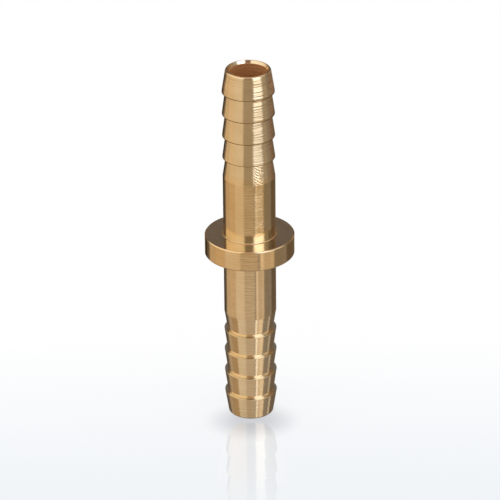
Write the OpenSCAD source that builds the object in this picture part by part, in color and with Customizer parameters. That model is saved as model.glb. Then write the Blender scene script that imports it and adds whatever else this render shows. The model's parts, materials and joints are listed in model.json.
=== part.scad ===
// Brass hose mender: a tube turned from one bar, with a barbed tail at each
// end and a plain collar in the middle. A hose is pushed over each tail until
// it butts against the collar. The mender stands on its lower end face.

/* [Overall] */
// Length over both end faces
overall_l = 79; // [72:0.5:90]
// Diameter of the through bore
bore_d = 7.8; // [6.5:0.1:8.2]

/* [Barbs] */
// Barbs on each tail
barb_count = 4; // [2:1:5]
// Diameter over the barb crests
crest_d = 10.9; // [10.4:0.1:11.5]
// Diameter at the foot of each step
root_d = 9.6; // [9:0.1:10.2]
// From the end face to the first step
nose_l = 5; // [4:0.1:6]
// From one step to the next
barb_pitch = 4.9; // [4:0.1:5.4]
// Length of the last cone, which runs up to the shank
lead_l = 4.2; // [3:0.1:6]
// Length of the plain land at each crest
crest_land = 0.2; // [0.1:0.05:0.5]

/* [End faces] */
// Diameter of the nose where its rounded edge meets the first cone
nose_d = 9.5; // [9.3:0.1:10.2]
// Radius of the rounded edge round the end face
nose_round = 0.4; // [0.1:0.05:0.45]
// Width of the flat ring left on the end face
rim_land = 0.1; // [0.05:0.05:0.2]
// Depth of the countersink in each mouth of the bore
countersink_h = 0.6; // [0.2:0.1:2]

/* [Shank and collar] */
// Diameter of the plain shank between the last cone and the collar
shank_d = 10.9; // [10.4:0.1:12]
// Radius of the fillet between the shank and the collar face
shank_fillet = 0.3; // [0.1:0.05:0.8]
// Diameter of the collar
collar_d = 18.7; // [15:0.1:24]
// Thickness of the collar
collar_t = 4.4; // [2:0.1:8]
// Size of the broken edge round each collar face
collar_break = 0.2; // [0.1:0.05:0.6]

/* [Hidden] */
$fn = 180;

brass = "#c9a468";

// Reach of the cutting profiles past the metal
over = 1;

mid_z = overall_l / 2;
collar_z = mid_z - collar_t / 2;

// The last step of a tail, and the height where its last cone reaches the shank
last_step_z = nose_l + (barb_count - 1) * barb_pitch;
shank_z = last_step_z + lead_l;

// Outer edge of the flat ring, where the rounded edge starts, and its inner
// edge, where the countersink starts
rim_r = nose_d / 2 - nose_round;
countersink_r = rim_r - rim_land;

// First cone of a tail, with the rounded edge that enters the hose
module nose_profile() {
    polygon([[0, 0], [rim_r, 0], [nose_d / 2, nose_round],
             [crest_d / 2, nose_l - crest_land], [crest_d / 2, nose_l], [0, nose_l]]);
    translate([rim_r, nose_round]) circle(r = nose_round);
}

// One barb from the foot of the step below it up to its own square step
module barb_profile() {
    polygon([[0, 0], [root_d / 2, 0], [crest_d / 2, barb_pitch - crest_land],
             [crest_d / 2, barb_pitch], [0, barb_pitch]]);
}

// Last cone and the plain shank, up to the middle of the collar
module shank_profile() {
    polygon([[0, last_step_z], [root_d / 2, last_step_z], [shank_d / 2, shank_z],
             [shank_d / 2, mid_z], [0, mid_z]]);
}

// Metal left in the corner between the shank and the collar face
module fillet_profile() {
    translate([shank_d / 2, collar_z])
        difference() {
            translate([-shank_fillet, -shank_fillet])
                square([2 * shank_fillet, 2 * shank_fillet]);
            translate([shank_fillet, -shank_fillet]) circle(r = shank_fillet);
        }
}

// Half of the collar, from its broken edge to the middle of the mender
module collar_profile() {
    polygon([[0, collar_z], [collar_d / 2 - collar_break, collar_z],
             [collar_d / 2, collar_z + collar_break], [collar_d / 2, mid_z], [0, mid_z]]);
}

// Half of the bore with the countersink in its mouth
module bore_profile() {
    translate([-over, -over]) square([over + bore_d / 2, mid_z + 2 * over]);
    polygon([[0, -over], [countersink_r, -over], [countersink_r, 0],
             [bore_d / 2, countersink_h], [0, countersink_h]]);
}

// Half of the mender's wall, from its end face to the middle of the collar
module half_profile() {
    difference() {
        union() {
            nose_profile();
            for (i = [0 : barb_count - 2])
                translate([0, nose_l + i * barb_pitch]) barb_profile();
            shank_profile();
            fillet_profile();
            collar_profile();
        }
        bore_profile();
    }
}

// The whole turned body: the wall's profile and its mirror image, revolved
module hose_mender() {
    color(brass)
        rotate_extrude() {
            half_profile();
            translate([0, overall_l]) mirror([0, 1]) half_profile();
        }
}

hose_mender();
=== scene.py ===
import json
import math

import bpy
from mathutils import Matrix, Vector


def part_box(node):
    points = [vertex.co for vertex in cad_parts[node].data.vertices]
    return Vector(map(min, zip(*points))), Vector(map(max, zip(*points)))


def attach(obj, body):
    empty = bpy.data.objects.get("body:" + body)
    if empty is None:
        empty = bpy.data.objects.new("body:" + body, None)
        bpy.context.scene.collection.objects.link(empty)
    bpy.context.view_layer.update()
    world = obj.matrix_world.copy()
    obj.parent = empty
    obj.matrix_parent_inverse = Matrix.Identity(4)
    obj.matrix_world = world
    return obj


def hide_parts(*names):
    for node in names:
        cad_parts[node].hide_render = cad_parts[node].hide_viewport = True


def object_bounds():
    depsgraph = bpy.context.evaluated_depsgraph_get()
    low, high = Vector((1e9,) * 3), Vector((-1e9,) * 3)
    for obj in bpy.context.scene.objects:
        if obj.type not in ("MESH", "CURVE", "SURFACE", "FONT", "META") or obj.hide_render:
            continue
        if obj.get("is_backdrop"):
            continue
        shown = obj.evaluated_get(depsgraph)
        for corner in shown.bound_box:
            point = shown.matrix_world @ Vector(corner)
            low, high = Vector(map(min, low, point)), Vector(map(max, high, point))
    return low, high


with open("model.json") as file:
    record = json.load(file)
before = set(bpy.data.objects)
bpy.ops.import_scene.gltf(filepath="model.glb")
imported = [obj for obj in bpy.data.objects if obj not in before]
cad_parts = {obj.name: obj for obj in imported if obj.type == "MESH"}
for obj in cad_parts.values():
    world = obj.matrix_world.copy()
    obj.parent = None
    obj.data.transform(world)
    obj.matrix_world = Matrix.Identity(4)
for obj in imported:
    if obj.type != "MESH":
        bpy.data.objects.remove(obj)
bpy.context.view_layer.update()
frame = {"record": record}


# The mender's body is one piece, turned from round brass bar on a lathe: faced,
# drilled, then cut to four sharp barbs and a plain shank on each side of the
# collar. Its section is drawn here and spun, as the lathe makes it.
MM = 0.001
SPIN_STEPS = 192

record = frame["record"]
mount = {m["name"]: m for m in record["mounts"]}
low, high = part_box("hose_mender")

overall_l = high.z - low.z
mid_z = (high.z + low.z) / 2
bore_r = mount["bore"]["dims"]["r_mm"] * MM
countersink_h = (overall_l - mount["bore"]["dims"]["length_mm"] * MM) / 2
shank_r = mount["lower_shank"]["dims"]["r_mm"] * MM
shank_l = mount["lower_shank"]["dims"]["length_mm"] * MM
shank_z = mount["lower_shank"]["pos_m"][2] - shank_l / 2
collar_z = mount["lower_collar_face"]["pos_m"][2]
collar_r = min(high.x, high.y, -low.x, -low.y)
fillet_r = collar_z - shank_z - shank_l

crest_r = shank_r
root_r = 4.8 * MM
nose_r = 4.75 * MM
nose_round = 0.4 * MM
rim_land = 0.1 * MM
nose_l = 5 * MM
barb_pitch = 4.9 * MM
barb_count = 4
crest_land = 0.2 * MM
collar_break = 0.2 * MM
tool_radius = 0.05 * MM
worn_radius = 0.15 * MM
# Fine rings that the tool left on the upper nose, and the line between cone and shank
nose_grooves = [0.5 * MM, 1.05 * MM, 1.6 * MM]
groove_width = 0.22 * MM
groove_depth = 0.02 * MM
witness_width = 0.12 * MM
witness_depth = 0.02 * MM
# The upper nose is worn softer than the lower one, over some degrees of its edge
soft_radius = 1.6 * MM
soft_turn = math.radians(12)
edge_steps = 5
bend_steps = 4
# Points and faces are found by their place to within a part of the tool's radius
near = tool_radius / 5
weld = tool_radius / 50
smooth_below = math.radians(25)


def arc(r, z, radius, start, end, steps):
    """Points round a centre at r, z; the angles run in degrees from the +r side."""
    turns = [math.radians(start + (end - start) * i / steps) for i in range(steps + 1)]
    return [(r + radius * math.cos(t), z + radius * math.sin(t)) for t in turns]


rim_r = nose_r - nose_round
lean = math.atan2(crest_r - nose_r, nose_l - crest_land - nose_round)


def end_edge(big_radius, big_turn):
    """Points round the edge of an end face: a small round, then a bigger one, if it has a
    turn, that runs into the first cone without a corner."""
    turn = lean + big_turn
    more = big_radius - nose_round
    big_z = nose_round + more * math.sin(turn)
    end_z = big_z - big_radius * math.sin(lean)
    big_r = nose_r + (end_z - nose_round) * math.tan(lean) - big_radius * math.cos(lean)
    small_r = big_r + more * math.cos(turn)
    points = arc(small_r, nose_round, nose_round, -90, -math.degrees(turn), edge_steps)
    if big_turn:
        bend = arc(big_r, big_z, big_radius, -math.degrees(turn), -math.degrees(lean), bend_steps)
        points += bend[1:]
    return points


def groove(start, end, at, width, depth):
    """Three points of a fine groove in a cone, at a distance from its start."""
    length = math.hypot(end[0] - start[0], end[1] - start[1])
    points = []
    for along, cut in ((at - width / 2, 0), (at, depth), (at + width / 2, 0)):
        t = along / length
        points.append((start[0] + t * (end[0] - start[0]) - cut, start[1] + t * (end[1] - start[1])))
    return points


def half_outline(big_radius, big_turn, grooves):
    """Points r, z of one half, z from its own end: up the bore's wall from the middle,
    round the mouth, then along the outside back to the middle of the collar."""
    sharp = [(bore_r, countersink_h), (rim_r - rim_land, 0)]
    points = [(bore_r, mid_z)] + sharp
    points += end_edge(big_radius, big_turn)
    for i in range(barb_count):
        step_z = nose_l + i * barb_pitch
        step = [(crest_r, step_z - crest_land), (crest_r, step_z), (root_r, step_z)]
        if i == 0:
            cone_start = points[-1]
            for at in grooves:
                points += groove(cone_start, step[0], at, groove_width, groove_depth)
        points += step
        sharp += step
    points += [(shank_r - witness_depth / 2, shank_z - witness_width / 2),
               (shank_r - witness_depth, shank_z), (shank_r, shank_z + witness_width / 2)]
    points += arc(shank_r + fillet_r, collar_z - fillet_r, fillet_r, 180, 90, bend_steps)
    edge = [(collar_r - collar_break, collar_z), (collar_r, collar_z + collar_break)]
    return points + edge + [(collar_r, mid_z)], sharp + edge


lower, lower_sharp = half_outline(nose_round, 0, [])
crests = [(crest_r, nose_l + i * barb_pitch) for i in range(barb_count)]
upper, upper_sharp = half_outline(soft_radius, soft_turn, nose_grooves)
outline = lower + [(r, overall_l - z) for r, z in reversed(upper)]
corners = lower_sharp + [(r, overall_l - z) for r, z in upper_sharp if (r, z) not in crests]

bpy.ops.object.select_all(action="DESELECT")
bpy.ops.mesh.primitive_plane_add(size=MM, location=(bore_r, 0, mid_z))
body = bpy.context.object
body.name = "turned_body"
bpy.ops.object.transform_apply(location=True, rotation=True, scale=True)
bpy.ops.object.mode_set(mode="EDIT")
bpy.ops.mesh.merge(type="CENTER")
for here, there in zip(outline, outline[1:]):
    bpy.ops.mesh.extrude_region_move(
        TRANSFORM_OT_translate={"value": (there[0] - here[0], 0, there[1] - here[1])})

# The tool's small nose leaves each corner of the steps, the shank and the collar round,
# and the crests of the upper tail are worn a little rounder where they meet their step
worn = [(r, overall_l - z) for r, z in crests]
for places, radius in ((corners, tool_radius), (worn, worn_radius)):
    bpy.ops.object.mode_set(mode="OBJECT")
    for v in body.data.vertices:
        v.select = any(math.hypot(v.co.x - r, v.co.z - z) < near for r, z in places)
    bpy.ops.object.mode_set(mode="EDIT")
    bpy.ops.mesh.bevel(offset=radius, segments=3, affect="VERTICES")

bpy.ops.mesh.select_all(action="SELECT")
bpy.ops.mesh.spin(steps=SPIN_STEPS, angle=2 * math.pi, center=(0, 0, 0), axis=(0, 0, 1))
bpy.ops.mesh.select_all(action="SELECT")
bpy.ops.mesh.remove_doubles(threshold=weld)
bpy.ops.mesh.normals_make_consistent(inside=False)
bpy.ops.object.mode_set(mode="OBJECT")
bpy.ops.object.shade_smooth_by_angle(angle=smooth_below)
bpy.ops.object.modifier_add(type="WEIGHTED_NORMAL")
body.modifiers[-1].weight = 100
body.modifiers[-1].keep_sharp = True
bpy.ops.object.modifier_apply(modifier=body.modifiers[-1].name)


def linear(hex_colour):
    """A colour written as sRGB hex, in the linear values that the nodes use."""
    parts = [int(hex_colour[i:i + 2], 16) / 255 for i in (1, 3, 5)]
    return [c / 12.92 if c <= 0.04045 else ((c + 0.055) / 1.055) ** 2.4 for c in parts] + [1]


def add_node(tree, kind, inputs, **settings):
    """Adds a node, sets it, and fills its sockets with values or other nodes' outputs."""
    node = tree.nodes.new(kind)
    for name, value in settings.items():
        setattr(node, name, value)
    for socket, value in inputs.items():
        if isinstance(value, bpy.types.NodeSocket):
            tree.links.new(value, node.inputs[socket])
        else:
            node.inputs[socket].default_value = value
    return node


def masked(tree, axes, value, places):
    """Fades a value out past a middle and a reach along each of x, y and z."""
    full_share = 0.75
    for axis, (middle, reach) in enumerate(places):
        off = add_node(tree, "ShaderNodeMath", {0: axes.outputs[axis], 1: middle}, operation="SUBTRACT")
        off = add_node(tree, "ShaderNodeMath", {0: off.outputs[0]}, operation="ABSOLUTE")
        inside = add_node(tree, "ShaderNodeMapRange",
                          {"Value": off.outputs[0], "From Min": reach, "From Max": reach * full_share},
                          interpolation_type="SMOOTHSTEP")
        value = add_node(tree, "ShaderNodeMath", {0: value, 1: inside.outputs[0]},
                         operation="MULTIPLY").outputs[0]
    return value


# Free-machining brass, finely turned and bright: warm gold, mirror-like along the
# walls, with hair lines that run round the axis and draw highlights out along it
brass = bpy.data.materials.new("turned_brass")
brass.use_nodes = True
tree = brass.node_tree
shader = tree.nodes["Principled BSDF"]
shader.inputs["Metallic"].default_value = 1
shader.inputs["Anisotropic"].default_value = 0.5
where = add_node(tree, "ShaderNodeTexCoord", {}).outputs["Object"]
axes = add_node(tree, "ShaderNodeSeparateXYZ", {0: where})
flat = add_node(tree, "ShaderNodeCombineXYZ", {0: axes.outputs[0], 1: axes.outputs[1]})
radius = add_node(tree, "ShaderNodeVectorMath", {0: flat.outputs[0]}, operation="LENGTH")
# The tool's lines change at full rate along the axis, less with the radius, and hardly
# round the part
rate_round = 0.06
rate_radius = 0.35
round_part = add_node(tree, "ShaderNodeMath", {0: axes.outputs[0], 1: rate_round},
                      operation="MULTIPLY")
radius_part = add_node(tree, "ShaderNodeMath", {0: radius.outputs["Value"], 1: rate_radius},
                       operation="MULTIPLY")
turned = add_node(tree, "ShaderNodeCombineXYZ",
                  {0: radius_part.outputs[0], 1: round_part.outputs[0], 2: axes.outputs[2]})
# The real feed lines are about 0.1 mm apart; these are coarser so that they show
feed = 0.32 * MM
line_depth = 0.02 * MM
lines = add_node(tree, "ShaderNodeTexNoise",
                 {"Vector": turned.outputs[0], "Scale": 1 / feed, "Detail": 2, "Roughness": 0.55})
# The tool sprang a little near the upper end, which left deeper ridges on one side there
ridge = 0.4 * MM
sprung_from = 60 * MM
sprung_to = 76 * MM
sprung_most = 5.2
ridges = add_node(tree, "ShaderNodeTexNoise",
                  {"Vector": turned.outputs[0], "Scale": 1 / ridge, "Detail": 1})
one_side = add_node(tree, "ShaderNodeMapRange",
                    {"Value": axes.outputs[0], "From Min": -0.2 * MM, "From Max": 1.4 * MM},
                    interpolation_type="SMOOTHSTEP")
near_end = add_node(tree, "ShaderNodeMapRange",
                    {"Value": axes.outputs[2], "From Min": sprung_from, "From Max": sprung_to,
                     "To Min": 0, "To Max": sprung_most}, interpolation_type="SMOOTHSTEP")
sprung = add_node(tree, "ShaderNodeMath", {0: one_side.outputs[0], 1: near_end.outputs[0]},
                  operation="MULTIPLY")
height = add_node(tree, "ShaderNodeMath",
                  {0: ridges.outputs["Fac"], 1: sprung.outputs[0], 2: lines.outputs["Fac"]},
                  operation="MULTIPLY_ADD")
# Chatter marks: short slanted cuts on one side of the upper tail's last cone
cut_pitch = 0.62 * MM
cut_slope = 0.75
bend_size = 0.7 * MM
bend_most = 8
cut_places = ((2 * MM, 0.95 * MM), (-5 * MM, 1.5 * MM), (57.1 * MM, 2.2 * MM))
slanted = add_node(tree, "ShaderNodeMath",
                   {0: axes.outputs[0], 1: cut_slope, 2: axes.outputs[2]}, operation="MULTIPLY_ADD")
across = add_node(tree, "ShaderNodeMath", {0: slanted.outputs[0], 1: 2 * math.pi / cut_pitch},
                  operation="MULTIPLY")
bent = add_node(tree, "ShaderNodeTexNoise", {"Vector": where, "Scale": 1 / bend_size, "Detail": 1})
bend = add_node(tree, "ShaderNodeMath",
                {0: bent.outputs["Fac"], 1: bend_most, 2: across.outputs[0]},
                operation="MULTIPLY_ADD")
cuts = add_node(tree, "ShaderNodeMath", {0: bend.outputs[0]}, operation="SINE")
patch = masked(tree, axes, cuts.outputs[0], cut_places)
relief = add_node(tree, "ShaderNodeMath", {0: patch, 1: height.outputs[0]}, operation="ADD")
# The feed lines are deeper along a narrow strip of the upper shank
strip_places = ((1.95 * MM, 1 * MM), (-5 * MM, 1.5 * MM), (49 * MM, 6 * MM))
strip_most = 3
deeper = add_node(tree, "ShaderNodeMath", {0: lines.outputs["Fac"], 1: 0.5}, operation="SUBTRACT")
strip = masked(tree, axes, deeper.outputs[0], strip_places)
relief = add_node(tree, "ShaderNodeMath", {0: strip, 1: strip_most, 2: relief.outputs[0]},
                  operation="MULTIPLY_ADD")
bump = add_node(tree, "ShaderNodeBump",
                {"Strength": 1, "Distance": line_depth, "Height": relief.outputs[0]})
gloss = add_node(tree, "ShaderNodeMapRange",
                 {"Value": lines.outputs["Fac"], "From Min": 0.3, "From Max": 0.7,
                  "To Min": 0.08, "To Max": 0.16})
stain_size = 4 * MM
stain = add_node(tree, "ShaderNodeTexNoise", {"Vector": where, "Scale": 1 / stain_size, "Detail": 2})
tone = add_node(tree, "ShaderNodeValToRGB", {"Fac": stain.outputs["Fac"]})
tone.color_ramp.elements[0].position = 0.3
tone.color_ramp.elements[0].color = linear("#ddc196")
tone.color_ramp.elements[1].position = 0.7
tone.color_ramp.elements[1].color = linear("#e5c9a2")
# The upper shank and the collar's rim are tinted warmer: a painted warm reflection, for the warmer light
# they mirror
warm_tint_z = 49.8 * MM
warm_tint_end = 7.6 * MM
warm_tint_full = 5.4 * MM
off_middle = add_node(tree, "ShaderNodeMath", {0: axes.outputs[2], 1: warm_tint_z}, operation="SUBTRACT")
off_middle = add_node(tree, "ShaderNodeMath", {0: off_middle.outputs[0]}, operation="ABSOLUTE")
on_shank = add_node(tree, "ShaderNodeMapRange",
                    {"Value": off_middle.outputs[0], "From Min": warm_tint_end,
                     "From Max": warm_tint_full}, interpolation_type="SMOOTHSTEP")
on_rim = add_node(tree, "ShaderNodeMapRange",
                  {"Value": radius.outputs["Value"], "From Min": collar_r - 0.12 * MM,
                   "From Max": collar_r - 0.06 * MM})
painted_warmth_share = add_node(tree, "ShaderNodeMath", {0: on_shank.outputs[0], 1: on_rim.outputs[0]},
                   operation="MAXIMUM")
# The painted warm tint multiplies the brass's tone
warm = add_node(tree, "ShaderNodeMix",
                {"Factor": painted_warmth_share.outputs[0], "A": tone.outputs["Color"], "B": linear("#fff9ed")},
                data_type="RGBA", blend_type="MULTIPLY")
tangent = add_node(tree, "ShaderNodeTangent", {}, direction_type="RADIAL", axis="Z")
tree.links.new(warm.outputs["Result"], shader.inputs["Base Color"])
tree.links.new(gloss.outputs["Result"], shader.inputs["Roughness"])
tree.links.new(bump.outputs["Normal"], shader.inputs["Normal"])
tree.links.new(tangent.outputs["Tangent"], shader.inputs["Tangent"])
body.data.materials.clear()
body.data.materials.append(brass)


def refinished(base, name, colours, roughness=None):
    """A copy of a brass on the body, with other colours and, if given, another roughness."""
    other = base.copy()
    other.name = name
    nodes = other.node_tree.nodes
    for element, colour in zip(nodes[tone.name].color_ramp.elements, colours):
        element.color = linear(colour)
    if roughness:
        nodes[gloss.name].inputs["To Min"].default_value = roughness[0]
        nodes[gloss.name].inputs["To Max"].default_value = roughness[1]
    body.data.materials.append(other)
    return other


# The bore is only drilled, so its wall is the same brass but dull, with darker lines; its oranger colour
# is painted, standing in for light bounced round inside the bore
drilled = refinished(brass, "drilled_brass", ("#c48a54", "#e2ae78"), (0.45, 0.6))
nodes = drilled.node_tree.nodes
nodes[shader.name].inputs["Metallic"].default_value = 0.45
drilled.node_tree.links.new(nodes[lines.name].outputs["Fac"], nodes[tone.name].inputs["Fac"])

# Under each crest of the upper tail the edge is painted darker, as a thin line of painted shade, and has
# a rougher finish
shaded_crest_edge = refinished(brass, "torn_brass", ("#6e4a2a", "#8a6238"), (0.4, 0.6))

# The tool's corner cut the fillets, which are duller than the walls; their darker colour is painted
# shade in the corner between shank and collar
refinished(shaded_crest_edge, "corner_cut_brass", ("#d0b080", "#dabd90"), (0.28, 0.36))

# The steps were faced with the flank of the tool; their paler colour is a painted highlight on their
# flat faces
refinished(brass, "faced_brass", ("#e4dbc1", "#eae1c9"))

# Each face gets its finish by its place in the section, found with a little to spare.
# The rest stays as turned.
finish_of = {material.name: i for i, material in enumerate(body.data.materials)}
painted_shade_start = crest_r - worn_radius * 1.05
fillet_start = shank_r + fillet_r * 1.1
fillet_end = shank_r + fillet_r * 1.2
level_face = 0.9
for face in body.data.polygons:
    r = [math.hypot(body.data.vertices[i].co.x, body.data.vertices[i].co.y) for i in face.vertices]
    under = [z - near < face.center.z < z + worn_radius - near for _, z in worn]
    # The bore's wall: dull drilled finish with painted bounced light
    if max(r) < bore_r + near / 2:
        face.material_index = finish_of["drilled_brass"]
    # Faces just under an upper crest take the line of painted shade
    elif any(under) and min(r) > painted_shade_start:
        face.material_index = finish_of["torn_brass"]
    # The fillets take their duller finish and painted shade
    elif shank_r < min(r) < fillet_start and max(r) < fillet_end:
        face.material_index = finish_of["corner_cut_brass"]
    # The steps' flat faces take the painted highlight
    elif abs(face.normal.z) > level_face and root_r - tool_radius < min(r) and max(r) < crest_r:
        face.material_index = finish_of["faced_brass"]

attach(body, "root")
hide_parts("hose_mender")


# The floor is one white sheet, a little cooler and darker towards the camera, and
# faintly glossy, so that it mirrors the foot of the part. It glows a little, which
# keeps it white. The metal doesn't mirror it, as in the photograph.
sheet_size = 4
bpy.ops.object.select_all(action="DESELECT")
bpy.ops.mesh.primitive_plane_add(size=sheet_size, location=(0, 0, 0))
floor = bpy.context.object
floor.name = "floor"
floor.visible_glossy = False
floor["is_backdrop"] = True

sheet = bpy.data.materials.new("white_sheet")
sheet.use_nodes = True
tree = sheet.node_tree
tree.nodes.clear()
where = add_node(tree, "ShaderNodeTexCoord", {}).outputs["Object"]
axes = add_node(tree, "ShaderNodeSeparateXYZ", {0: where})
forward = add_node(tree, "ShaderNodeMapRange",
                   {"Value": axes.outputs[1], "From Min": 30 * MM, "From Max": -40 * MM})
pale = add_node(tree, "ShaderNodeMix",
                {"Factor": forward.outputs[0], "A": linear("#ffffff"), "B": linear("#f0f4f8")},
                data_type="RGBA").outputs["Result"]
# A soft shadow is painted round the part's foot and in front of it, by darkening the sheet's glow there
shade_middle = (0.3 * MM, -5.5 * MM, 0)
shade_slant = (1, 1.22, 1)
from_shade = add_node(tree, "ShaderNodeVectorMath", {0: where, 1: shade_middle}, operation="SUBTRACT")
from_shade = add_node(tree, "ShaderNodeVectorMath", {0: from_shade.outputs[0], 1: shade_slant},
                      operation="MULTIPLY")
from_shade = add_node(tree, "ShaderNodeVectorMath", {0: from_shade.outputs[0]}, operation="LENGTH")
open_part = add_node(tree, "ShaderNodeMapRange",
                     {"Value": from_shade.outputs["Value"], "From Min": 2 * MM, "From Max": 11.5 * MM},
                     interpolation_type="SMOOTHSTEP")
# The grey of the painted shadow, darkest near the foot
shade = add_node(tree, "ShaderNodeMix",
                 {"Factor": open_part.outputs[0], "A": linear("#d4d4d8"), "B": (1, 1, 1, 1)},
                 data_type="RGBA")
painted_shadow_colour = add_node(tree, "ShaderNodeVectorMath", {0: pale, 1: shade.outputs["Result"]},
               operation="MULTIPLY")
glow_share = 0.85
matt = add_node(tree, "ShaderNodeBsdfDiffuse", {"Color": pale})
glow = add_node(tree, "ShaderNodeEmission", {"Color": painted_shadow_colour.outputs[0], "Strength": 1})
white = add_node(tree, "ShaderNodeMixShader",
                 {0: glow_share, 1: matt.outputs[0], 2: glow.outputs[0]}).outputs[0]
mirror = add_node(tree, "ShaderNodeBsdfGlossy", {"Color": linear("#fffaf2"), "Roughness": 0})
from_foot = add_node(tree, "ShaderNodeVectorMath", {0: where}, operation="LENGTH")
# The mirror image starts a little in front of the foot, along an arch with a flat top
arch_front = -5.4 * MM
arch_fade = 1.8 * MM
arch_reach = 4.9 * MM
arch_drop = 5 * MM
arch_power = 4
arch = add_node(tree, "ShaderNodeMath", {0: axes.outputs[0], 1: arch_reach}, operation="DIVIDE")
arch = add_node(tree, "ShaderNodeMath", {0: arch.outputs[0], 1: arch_power}, operation="POWER")
arch = add_node(tree, "ShaderNodeMath", {0: arch.outputs[0], 1: arch_drop, 2: axes.outputs[1]},
                operation="MULTIPLY_ADD")
starting = add_node(tree, "ShaderNodeMapRange",
                    {"Value": arch.outputs[0], "From Min": arch_front,
                     "From Max": arch_front - arch_fade}, interpolation_type="SMOOTHSTEP")
fading = add_node(tree, "ShaderNodeMapRange",
                  {"Value": from_foot.outputs["Value"], "From Min": 14 * MM, "From Max": 55 * MM,
                   "To Min": 1, "To Max": 0}, interpolation_type="SMOOTHSTEP")
# Like glass, the sheet mirrors more at a low angle
polish_most = 1.65
slant = add_node(tree, "ShaderNodeFresnel", {"IOR": 1.5})
polish = add_node(tree, "ShaderNodeMath", {0: starting.outputs[0], 1: fading.outputs[0]},
                  operation="MULTIPLY")
polish = add_node(tree, "ShaderNodeMath", {0: polish.outputs[0], 1: slant.outputs[0]},
                  operation="MULTIPLY")
polish = add_node(tree, "ShaderNodeMath", {0: polish.outputs[0], 1: polish_most},
                  operation="MULTIPLY")
surface = add_node(tree, "ShaderNodeMixShader",
                   {0: polish.outputs[0], 1: white, 2: mirror.outputs[0]})
add_node(tree, "ShaderNodeOutputMaterial", {"Surface": surface.outputs[0]})
floor.data.materials.append(sheet)


# The studio is a plain light tent: white cards hang round the part with dark gaps
# between them, which the metal shows as bands. The camera sees plain white.
world = bpy.data.worlds.new("studio")
bpy.context.scene.world = world
world.use_nodes = True
tree = world.node_tree
tree.nodes.clear()
way = add_node(tree, "ShaderNodeTexCoord", {}).outputs["Generated"]
axes = add_node(tree, "ShaderNodeSeparateXYZ", {0: way})
towards = add_node(tree, "ShaderNodeMath", {0: axes.outputs[1], 1: -1}, operation="MULTIPLY")
turn = add_node(tree, "ShaderNodeMath", {0: axes.outputs[0], 1: towards.outputs[0]}, operation="ARCTAN2")
azimuth = add_node(tree, "ShaderNodeMath", {0: turn.outputs[0]}, operation="DEGREES").outputs[0]
rise = add_node(tree, "ShaderNodeMath", {0: axes.outputs[2]}, operation="ARCSINE")
elevation = add_node(tree, "ShaderNodeMath", {0: rise.outputs[0]}, operation="DEGREES").outputs[0]


def by_height(tree, elevation, colours):
    """A colour that changes with elevation, from a table of degrees and linear colours."""
    share = add_node(tree, "ShaderNodeMapRange", {"Value": elevation, "From Min": -90, "From Max": 90})
    ramp = add_node(tree, "ShaderNodeValToRGB", {"Fac": share.outputs[0]})
    stops = ramp.color_ramp.elements
    while len(stops) < len(colours):
        stops.new(0.5)
    for stop, (height, colour) in zip(stops, colours.items()):
        stop.position = (height + 90) / 180
        stop.color = colour
    return ramp.outputs["Color"]


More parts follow.
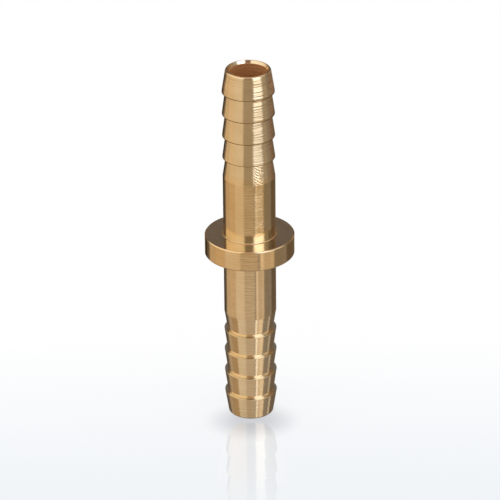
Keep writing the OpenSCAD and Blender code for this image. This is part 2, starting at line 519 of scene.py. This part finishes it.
# Each card hangs between two azimuths, left and right of the camera's side, with
# edges that fade over some width and may waver. Its level changes with elevation.
# All of these are in degrees.
cards = [
    # left of the front
    (-68, -22, 8, 0, "#f8fbff",
     {-75: 0.05, -58: 0.42, -42: 0.9, -27.3: 0.86, -25.5: 0.82, -18: 0.86, 0: 0.95, 11: 0.95, 18: 1.4,
      34: 1.6, 60: 1.4, 75: 0.6}),
    (-102, -62, 10, 0, "#ffecd0", {-75: 0.05, -58: 0.3, -46: 0.48, -42: 0.48, -33: 0.52, -30: 0}),
    (-102, -62, 10, 0, "#fff6e9", {-33: 0, -30: 0.7, -27: 0.74, -25.5: 0.69, -20: 0.8, -15: 0}),
    (-102, -62, 12, 0, "#fffbf4",
     {-22: 0, -18: 0.82, 0: 0.9, 11: 0.95, 18: 1.4, 34: 1.5, 60: 1.2, 75: 0.5}),
    (-126, -98, 8, 0, "#fff9f0",
     {-45: 0.35, -30: 0.68, -25: 0.6, -10: 0.82, 11: 0.9, 20: 1.4, 45: 1.2, 70: 0.5}),
    # the front, where the camera stands
    (-25, 23, 8, 0, "#ffffff",
     {-75: 0.05, -58: 0.3, -42: 0.66, -30: 0.72, -27.5: 0.7, -26.6: 0.56, -25.5: 0.46, -10: 0.46,
      4: 0.4, 11: 0.28, 20: 0.42, 26: 0.44, 30: 0.38, 33: 0}),
    (-25, 23, 8, 0, "#ffd6c4", {30: 0, 33: 0.3, 42: 0.32, 64: 0.6, 90: 0.8}),
    # right of the front, in strips
    (25, 66, 5, 0, "#ffffff",
     {-75: 0.05, -58: 0.3, -42: 0.85, -27: 0.63, -25.5: 0.64, -17: 0.65, -10: 0.3}),
    (25, 36, 5, 0, "#e4eeff", {-75: 0.05, -58: 0.6, -42: 1.85, -34: 1.5, -29: 0.5, -28: 0}),
    (27, 36, 4, 0, "#f8faff", {-30: 0.6, -28: 1.15, -26: 1.15, -17: 0.8, -10: 0.3}),
    (44, 66, 5, 0, "#ffffff", {-75: 0.05, -58: 0.4, -42: 1.06, -33: 0.6, -29: 0}),
    (54, 66, 5, 0, "#ffffff", {-33: 0, -29: 0.8, -27: 0.8, -25.5: 0.72, -17: 0.65, -10: 0.3}),
    (60, 68, 4, 0, "#ffffff", {-60: 0, -50: 0.6, -42: 0.66, -34: 0.4, -30: 0}),
    (19, 64, 9, 3, "#cbddff",
     {-20: 0.5, -16: 0.65, -13: 1.25, -10.5: 2.05, -8: 2.4, -4: 2.7, 11: 2.7, 18: 4.3, 34: 4.6,
      43: 3.6, 70: 1.8}),
    (56, 68, 5, 0, "#dfe8ff", {14: 0, 20: 3, 34: 2, 40: 0}),
    (58, 92, 10, 0, "#f2f7ff",
     {-75: 0.05, -58: 0.15, -42: 0.36, -25.5: 0.33, -10: 0.52, 26: 0.6, 60: 0.8, 75: 0.5}),
    (80, 112, 12, 0, "#e8f0ff",
     {-75: 0.05, -58: 0.15, -42: 0.32, -25.5: 0.36, -10: 0.4, 0: 0.2, 20: 0.15, 33: 0.4, 38: 1.2,
      60: 1.1, 75: 0.5}),
    (86, 150, 10, 0, "#ffe8c8", {-4: 0, 4: 0.32, 9: 0.42, 20: 0.5, 28: 0}),
    (97, 110, 4, 0, "#eef4ff", {-60: 0.25, -50: 0.85, -42: 0.85, -34: 0.6, -29: 0.4, -27: 0.32}),
    (105, 152, 10, 0, "#ffe8ea", {-22: 0, -16: 0.36, -4: 0.36, 6: 0.2}),
    # the room behind and overhead
    (-162, -126, 8, 0, "#ffe0cc", {-19: 0, -14: 0.3, -4: 0.32, 6: 0.2}),
    (165, 195, 6, 0, "#ffffff", {-60: 0.1, -42: 0.6, -5: 0.8, 5: 0.4, 15: 0}),
    (-181, 181, 4, 0, "#fffaf6",
     {-60: 0.08, -42: 0.23, -34: 0.12, -29: 0.03, -20: 0.03, -10: 0.22, 12: 0}),
    (-143, 172, 8, 0, "#fffaf6", {-42: 0.2, -26: 0.15, -16: 0.2, -10: 0.2, 12: 0}),
    (-181, 181, 4, 0, "#ffeae4", {4: 0, 24: 0.21, 36: 0.21, 44: 0.6, 52: 0.85, 64: 0.6, 90: 0.7}),
]
waver_rate = 0.9
gap_level = 0.03
total = add_node(tree, "ShaderNodeCombineXYZ", {0: gap_level, 1: gap_level, 2: gap_level}).outputs[0]
for left, right, edge, waver, colour, levels in cards:
    off = add_node(tree, "ShaderNodeMath", {0: azimuth, 1: (left + right) / 2}, operation="SUBTRACT")
    wrapped = add_node(tree, "ShaderNodeMath", {0: off.outputs[0], 1: 180, 2: -180}, operation="WRAP")
    side = add_node(tree, "ShaderNodeMath", {0: wrapped.outputs[0]}, operation="ABSOLUTE")
    if waver:
        swing = add_node(tree, "ShaderNodeMath", {0: elevation, 1: waver_rate}, operation="MULTIPLY")
        swing = add_node(tree, "ShaderNodeMath", {0: swing.outputs[0]}, operation="SINE")
        side = add_node(tree, "ShaderNodeMath", {0: swing.outputs[0], 1: waver, 2: side.outputs[0]},
                        operation="MULTIPLY_ADD")
    across = add_node(tree, "ShaderNodeMapRange",
                      {"Value": side.outputs[0], "From Min": (right - left) / 2 + edge / 2,
                       "From Max": (right - left) / 2 - edge / 2},
                      interpolation_type="SMOOTHSTEP")
    stops = {height: [level * c for c in linear(colour)[:3]] + [1] for height, level in levels.items()}
    card_face = by_height(tree, elevation, stops)
    light = add_node(tree, "ShaderNodeVectorMath", {0: card_face, "Scale": across.outputs[0]},
                     operation="SCALE")
    total = add_node(tree, "ShaderNodeVectorMath", {0: total, 1: light.outputs[0]},
                     operation="MAXIMUM").outputs[0]

# The cards take some warmth from the room, most of all at the height of the floor's edge
tints = {-40: "#fff5e8", -27.2: "#fff7ec", -26.7: "#ffeaca", -25.5: "#ffe9c8", -23: "#fff0d8",
         5: "#fff2dc", 14: "#fff8f0", 20: "#ecf7ff", 30: "#ecf7ff", 34: "#fff6ec"}
warmth = by_height(tree, elevation, {height: linear(colour) for height, colour in tints.items()})
total = add_node(tree, "ShaderNodeVectorMath", {0: total, 1: warmth},
                 operation="MULTIPLY").outputs[0]

# Only the metal mirrors the cards. The camera, and the floor as a sharp mirror, see white.
path = add_node(tree, "ShaderNodeLightPath", {})
metal = add_node(tree, "ShaderNodeMath",
                 {0: path.outputs["Is Glossy Ray"], 1: path.outputs["Is Singular Ray"]},
                 operation="SUBTRACT", use_clamp=True)
seen = add_node(tree, "ShaderNodeMix",
                {"Factor": metal.outputs[0], "A": (1, 1, 1, 1), "B": total}, data_type="RGBA")
background = add_node(tree, "ShaderNodeBackground", {"Color": seen.outputs["Result"], "Strength": 1})
add_node(tree, "ShaderNodeOutputWorld", {"Surface": background.outputs[0]})


# The camera looks down on the part from the front through a long lens, and is
# turned a little about its own axis, as the photograph leans
IMAGE_PX = 500
LENS_PX = 3985.4
PITCH = 26.729
ROLL = -0.55
camera_place = (0.06 * MM, -740.817 * MM, 410.715 * MM)
bpy.ops.object.camera_add(location=camera_place)
camera = bpy.context.object
camera.rotation_mode = "ZXY"
camera.rotation_euler = (math.radians(90 - PITCH), 0, math.radians(ROLL))
camera.data.lens = camera.data.sensor_width * LENS_PX / IMAGE_PX
camera.data.clip_end = 10
bpy.context.scene.camera = camera

bpy.context.scene.view_settings.view_transform = "Standard"

low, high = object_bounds()
